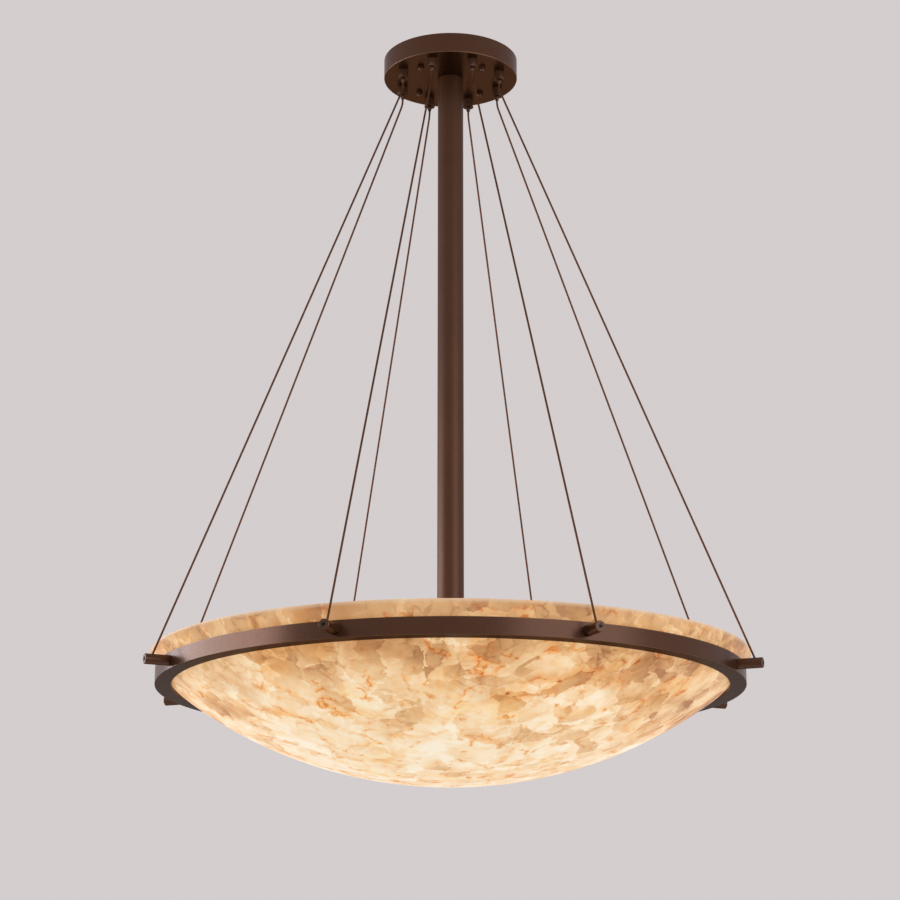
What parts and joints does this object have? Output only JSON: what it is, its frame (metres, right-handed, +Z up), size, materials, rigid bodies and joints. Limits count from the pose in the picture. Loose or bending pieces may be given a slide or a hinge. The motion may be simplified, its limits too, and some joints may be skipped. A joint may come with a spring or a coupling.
{
  "type": "bowl pendant light",
  "caption": "Pendant light: a translucent stone-flake bowl in a dark bronze ring, hung on taut cables round a straight stem from a round ceiling canopy.",
  "frame": {"origin": "on the ceiling plane, at the centre of the canopy and of the ceiling plate's screw slots", "axes": "+Z up along the stem, +X along the line of the two screw slots, -Y towards the picture's viewer"},
  "size_m": [0.9314, 0.9314, 1.2087],
  "materials": {
    "bronze_paint": "satin",
    "bronze_metal": "satin",
    "bronze_cable": "satin",
    "dark_steel": "satin",
    "zinc_steel": "satin",
    "brass_thread": "satin",
    "dark_rubber": "matte",
    "stone_resin": "polished",
    "socket_ceramic": "satin",
    "lamp_glass": "frosted",
    "pale_plastic": "matte",
    "wire_jacket": "satin",
    "connector_plastic": "matte"
  },
  "bodies": {
    "frame": {"ceiling_plate": "zinc_steel", "plate_studs": "zinc_steel", "canopy": "bronze_paint", "canopy_cap_nuts": "bronze_paint", "grip_nuts": "zinc_steel", "support_ring": "bronze_paint", "ring_studs": "bronze_paint", "stud_grub_screws": "dark_steel", "stud_nuts": "zinc_steel", "bowl_seat_gasket": "dark_rubber", "bowl": "stone_resin", "stem": "bronze_paint", "stem_end_plugs": "zinc_steel", "stem_nipples": "brass_thread", "stem_washers": "zinc_steel", "stem_lock_nuts": "brass_thread", "cluster_hub": "bronze_paint", "cluster_cover": "bronze_paint", "terminal_block": "pale_plastic", "lead_wires": "wire_jacket", "wire_connectors": "connector_plastic", "cable_grip_1": "bronze_metal", "cable_grip_2": "bronze_metal", "cable_grip_3": "bronze_metal", "cable_grip_4": "bronze_metal", "cable_grip_5": "bronze_metal", "cable_grip_6": "bronze_metal", "cable_grip_7": "bronze_metal", "cable_grip_8": "bronze_metal", "suspension_cable_1": "bronze_cable", "suspension_cable_2": "bronze_cable", "suspension_cable_3": "bronze_cable", "suspension_cable_4": "bronze_cable", "suspension_cable_5": "bronze_cable", "suspension_cable_6": "bronze_cable", "suspension_cable_7": "bronze_cable", "suspension_cable_8": "bronze_cable", "lamp_socket_1": "socket_ceramic", "lamp_socket_2": "socket_ceramic", "lamp_socket_3": "socket_ceramic", "lamp_socket_4": "socket_ceramic", "lamp_socket_5": "socket_ceramic", "lamp_socket_6": "socket_ceramic"},
    "grip_plunger_1": {"grip_plunger_1": "bronze_metal"},
    "grip_plunger_2": {"grip_plunger_2": "bronze_metal"},
    "grip_plunger_3": {"grip_plunger_3": "bronze_metal"},
    "grip_plunger_4": {"grip_plunger_4": "bronze_metal"},
    "grip_plunger_5": {"grip_plunger_5": "bronze_metal"},
    "grip_plunger_6": {"grip_plunger_6": "bronze_metal"},
    "grip_plunger_7": {"grip_plunger_7": "bronze_metal"},
    "grip_plunger_8": {"grip_plunger_8": "bronze_metal"},
    "lamp_bulb_1": {"lamp_bulb_1": "lamp_glass"},
    "lamp_bulb_2": {"lamp_bulb_2": "lamp_glass"},
    "lamp_bulb_3": {"lamp_bulb_3": "lamp_glass"},
    "lamp_bulb_4": {"lamp_bulb_4": "lamp_glass"},
    "lamp_bulb_5": {"lamp_bulb_5": "lamp_glass"},
    "lamp_bulb_6": {"lamp_bulb_6": "lamp_glass"}
  },
  "joints": [
    {"name": "plunger_push_1", "type": "slide", "parent": "frame", "child": "grip_plunger_1", "axis": [0, 0, 1], "range_m": [0, 0.002], "stiffness_N_per_m": 500, "springref_m": -0.002},
    {"name": "plunger_push_2", "type": "slide", "parent": "frame", "child": "grip_plunger_2", "axis": [0, 0, 1], "range_m": [0, 0.002], "stiffness_N_per_m": 500, "springref_m": -0.002},
    {"name": "plunger_push_3", "type": "slide", "parent": "frame", "child": "grip_plunger_3", "axis": [0, 0, 1], "range_m": [0, 0.002], "stiffness_N_per_m": 500, "springref_m": -0.002},
    {"name": "plunger_push_4", "type": "slide", "parent": "frame", "child": "grip_plunger_4", "axis": [0, 0, 1], "range_m": [0, 0.002], "stiffness_N_per_m": 500, "springref_m": -0.002},
    {"name": "plunger_push_5", "type": "slide", "parent": "frame", "child": "grip_plunger_5", "axis": [0, 0, 1], "range_m": [0, 0.002], "stiffness_N_per_m": 500, "springref_m": -0.002},
    {"name": "plunger_push_6", "type": "slide", "parent": "frame", "child": "grip_plunger_6", "axis": [0, 0, 1], "range_m": [0, 0.002], "stiffness_N_per_m": 500, "springref_m": -0.002},
    {"name": "plunger_push_7", "type": "slide", "parent": "frame", "child": "grip_plunger_7", "axis": [0, 0, 1], "range_m": [0, 0.002], "stiffness_N_per_m": 500, "springref_m": -0.002},
    {"name": "plunger_push_8", "type": "slide", "parent": "frame", "child": "grip_plunger_8", "axis": [0, 0, 1], "range_m": [0, 0.002], "stiffness_N_per_m": 500, "springref_m": -0.002},
    {"name": "bulb_turn_1", "type": "hinge", "parent": "frame", "child": "lamp_bulb_1", "pos_m": [0.02818, 0.01627, -1.026], "axis": [0.8138, 0.4698, -0.342], "range_deg": [0, 1080]},
    {"name": "bulb_turn_2", "type": "hinge", "parent": "frame", "child": "lamp_bulb_2", "pos_m": [0, 0.03254, -1.026], "axis": [0, 0.9397, -0.342], "range_deg": [0, 1080]},
    {"name": "bulb_turn_3", "type": "hinge", "parent": "frame", "child": "lamp_bulb_3", "pos_m": [-0.02818, 0.01627, -1.026], "axis": [-0.8138, 0.4698, -0.342], "range_deg": [0, 1080]},
    {"name": "bulb_turn_4", "type": "hinge", "parent": "frame", "child": "lamp_bulb_4", "pos_m": [-0.02818, -0.01627, -1.026], "axis": [-0.8138, -0.4698, -0.342], "range_deg": [0, 1080]},
    {"name": "bulb_turn_5", "type": "hinge", "parent": "frame", "child": "lamp_bulb_5", "pos_m": [0, -0.03254, -1.026], "axis": [0, -0.9397, -0.342], "range_deg": [0, 1080]},
    {"name": "bulb_turn_6", "type": "hinge", "parent": "frame", "child": "lamp_bulb_6", "pos_m": [0.02818, -0.01627, -1.026], "axis": [0.8138, -0.4698, -0.342], "range_deg": [0, 1080]}
  ]
}
